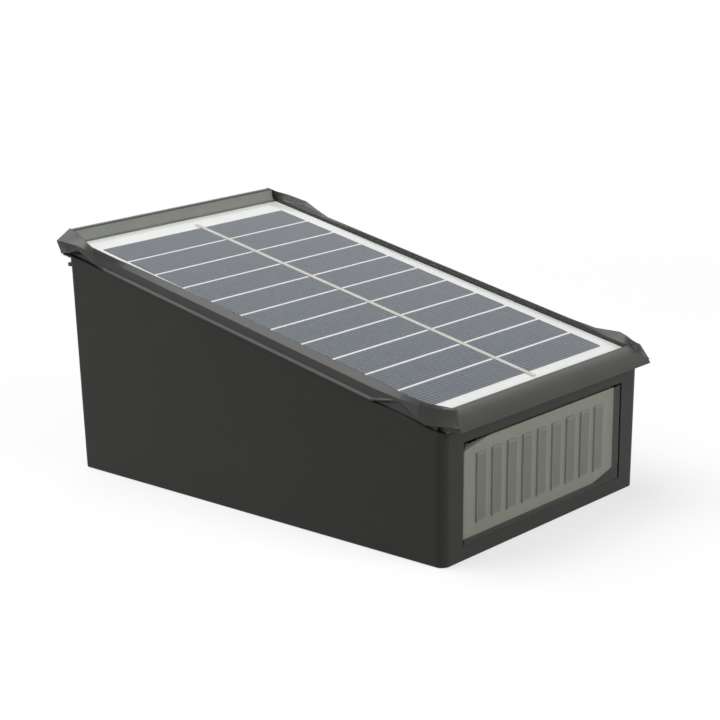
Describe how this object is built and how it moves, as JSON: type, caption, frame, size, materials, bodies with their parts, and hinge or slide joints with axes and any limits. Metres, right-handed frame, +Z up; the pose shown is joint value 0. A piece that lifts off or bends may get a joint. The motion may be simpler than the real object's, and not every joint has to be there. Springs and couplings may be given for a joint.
{
  "type": "solar fence light",
  "caption": "Wedge-shaped solar fence light: sloped panel in a flared frame, ribbed window at the low front, keyholes in the back and a button underneath.",
  "frame": {"origin": "on the surface it stands on, under the middle of its overall box", "axes": "+X across to the right seen from the front, +Y back to the wall or fence, +Z up; the window faces -Y"},
  "size_m": [0.0972, 0.153, 0.0754],
  "materials": {
    "housing_abs": "fine-textured moulded ABS, dark grey",
    "frame_abs": "satin moulded ABS, dark grey",
    "seal_rubber": "soft black silicone rubber",
    "foam_tape": "closed-cell foam tape",
    "white_backsheet": "white printed epoxy glass board",
    "silicon": "cut polycrystalline silicon with printed silver fingers",
    "tinned_copper": "tinned copper",
    "clear_laminate": "clear laminated cover",
    "tinted_lens": "smoke-tinted clear polycarbonate",
    "opal_diffuser": "translucent moulded acrylic",
    "white_abs": "white moulded ABS",
    "circuit_board": "green solder mask",
    "led_package": "phosphor-filled package",
    "chip_epoxy": "black moulded epoxy",
    "ferrite": "fired ferrite",
    "copper_wire": "enamelled copper wire",
    "capacitor_can": "drawn aluminium can",
    "nylon": "natural moulded nylon",
    "button_plastic": "black moulded plastic",
    "plated_steel": "nickel-plated steel",
    "cell_sleeve": "blue shrink sleeve",
    "holder_abs": "black moulded ABS",
    "wire_pvc": "PVC insulation",
    "screw_steel": "zinc-plated steel"
  },
  "bodies": {
    "shell": {"housing": "housing_abs", "top_frame": "frame_abs", "frame_gasket": "seal_rubber", "panel_tape": "foam_tape", "panel_board": "white_backsheet", "solar_cells": "silicon", "cell_ribbon": "tinned_copper", "panel_sheet": "clear_laminate", "panel_solder": "tinned_copper", "window_lens": "tinted_lens", "lens_gasket": "seal_rubber", "ribbed_diffuser": "opal_diffuser", "reflector": "white_abs", "led_board": "circuit_board", "leds": "led_package", "control_board": "circuit_board", "charge_chip": "chip_epoxy", "coil_core": "ferrite", "coil_winding": "copper_wire", "capacitors": "capacitor_can", "wire_sockets": "nylon", "wire_plugs": "nylon", "switch_body": "chip_epoxy", "button_seal": "seal_rubber", "battery_cell": "plated_steel", "battery_sleeve": "cell_sleeve", "battery_holder": "holder_abs", "battery_contacts": "plated_steel", "battery_spring": "plated_steel", "panel_leads": "wire_pvc", "led_leads": "wire_pvc", "battery_leads": "wire_pvc", "frame_screws": "screw_steel", "board_screws": "screw_steel", "foot_screws": "screw_steel", "led_board_screws": "screw_steel", "holder_screws": "screw_steel"},
    "button": {"power_button": "button_plastic", "switch_plunger": "nylon"}
  },
  "joints": [
    {"name": "button_press", "type": "slide", "parent": "shell", "child": "button", "axis": [0, 0, 1], "range_m": [0, 0.0015], "stiffness_N_per_m": 600, "springref_m": -0.0006}
  ]
}
